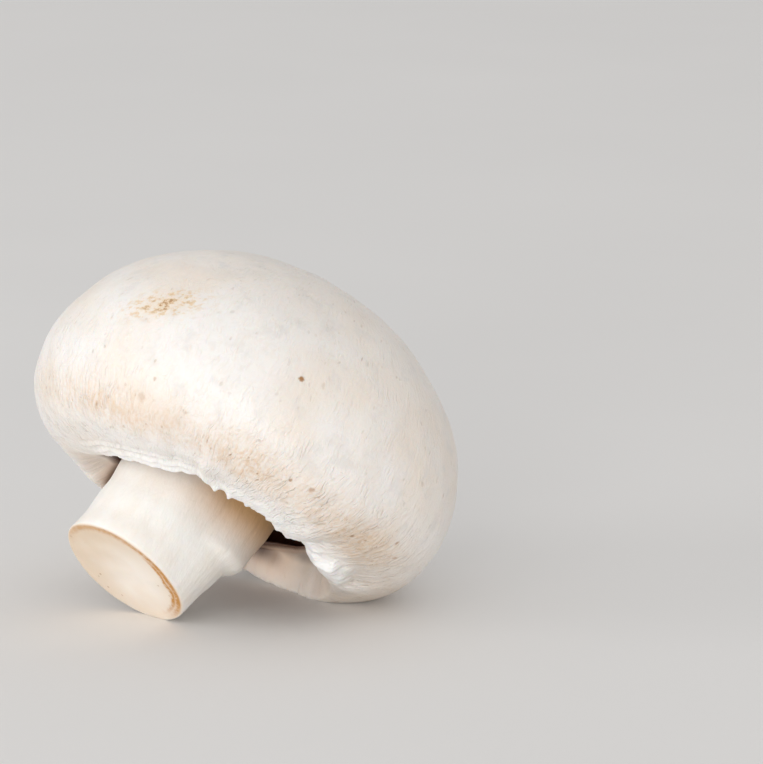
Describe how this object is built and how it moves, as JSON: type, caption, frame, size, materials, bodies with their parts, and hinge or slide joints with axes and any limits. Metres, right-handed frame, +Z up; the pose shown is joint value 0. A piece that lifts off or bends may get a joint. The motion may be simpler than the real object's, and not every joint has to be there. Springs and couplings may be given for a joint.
{
  "type": "button mushroom",
  "caption": "Closed-cap button mushroom with a short cut stem, lying on its side on the cap's margin and the edge of the stem, gills hidden in the hollow of the cap.",
  "frame": {"origin": "on the surface it lies on, under the middle of the bounding box", "axes": "+Z up from the surface, +X the level direction in which the crown of the cap points, so the cut end of the stem faces -X, +Y to the left of +X"},
  "size_m": [0.0534, 0.0592, 0.0482],
  "materials": {
    "cap_skin": "satin off-white skin, faintly mottled cream and grey, with small brown flecks and fine fibres towards the margin",
    "gill_flesh": "matte pinkish brown",
    "stem_skin": "matte white with faint lengthwise fibres, and a cream cut face with a tan edge"
  },
  "bodies": {
    "root": {"cap": "cap_skin", "gills": "gill_flesh", "stem": "stem_skin"}
  },
  "joints": []
}
